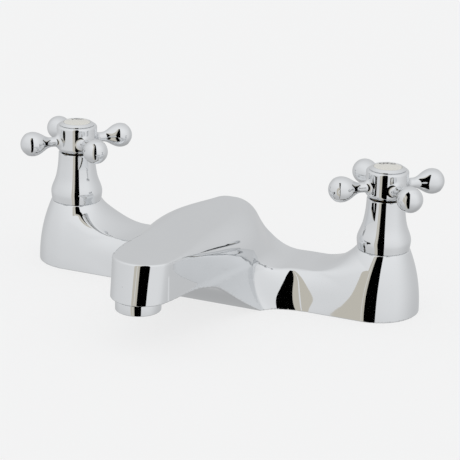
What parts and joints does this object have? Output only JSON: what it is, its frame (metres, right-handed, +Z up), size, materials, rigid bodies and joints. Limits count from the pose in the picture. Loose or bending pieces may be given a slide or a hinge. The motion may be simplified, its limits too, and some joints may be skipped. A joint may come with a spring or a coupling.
{
  "type": "bath filler",
  "caption": "Deck mounted chromed bath filler: a cast bridge with a flat tapered spout joins a hot and a cold tap, each opened by a quarter turn of its cross handle.",
  "frame": {"origin": "on the deck plane under the casting, midway between the two tap axes", "axes": "+X from the hot tap to the cold tap, -Y along the spout over the bath, +Z up"},
  "size_m": [0.2317, 0.1446, 0.0786],
  "materials": {
    "chrome": "polished chrome plate",
    "brass": "machined",
    "steel": "plain",
    "rubber": "matt",
    "ceramic": "lapped alumina",
    "nylon": "moulded",
    "porcelain": "glazed porcelain"
  },
  "bodies": {
    "body": {"body_casting": "chrome", "aerator_housing": "chrome", "aerator_insert": "nylon", "aerator_seal": "rubber", "shroud_hot": "chrome", "cartridge_body_hot": "brass", "body_o_ring_hot": "rubber", "seat_seal_hot": "rubber", "fixed_disc_hot": "ceramic", "shroud_cold": "chrome", "cartridge_body_cold": "brass", "body_o_ring_cold": "rubber", "seat_seal_cold": "rubber", "fixed_disc_cold": "ceramic"},
    "hot_handle": {"cross_handle_hot": "chrome", "handle_screw_hot": "steel", "index_bezel_hot": "chrome", "index_disc_hot": "porcelain", "spindle_hot": "brass", "spindle_o_rings_hot": "rubber", "circlip_hot": "steel", "disc_driver_hot": "nylon", "moving_disc_hot": "ceramic", "friction_washer_hot": "nylon"},
    "cold_handle": {"cross_handle_cold": "chrome", "handle_screw_cold": "steel", "index_bezel_cold": "chrome", "index_disc_cold": "porcelain", "spindle_cold": "brass", "spindle_o_rings_cold": "rubber", "circlip_cold": "steel", "disc_driver_cold": "nylon", "moving_disc_cold": "ceramic", "friction_washer_cold": "nylon"}
  },
  "joints": [
    {"name": "hot_turn", "type": "hinge", "parent": "body", "child": "hot_handle", "pos_m": [-0.09, 0, 0.068], "axis": [0, 0, 1], "range_deg": [0, 90]},
    {"name": "cold_turn", "type": "hinge", "parent": "body", "child": "cold_handle", "pos_m": [0.09, 0, 0.068], "axis": [0, 0, 1], "range_deg": [-90, 0]}
  ]
}
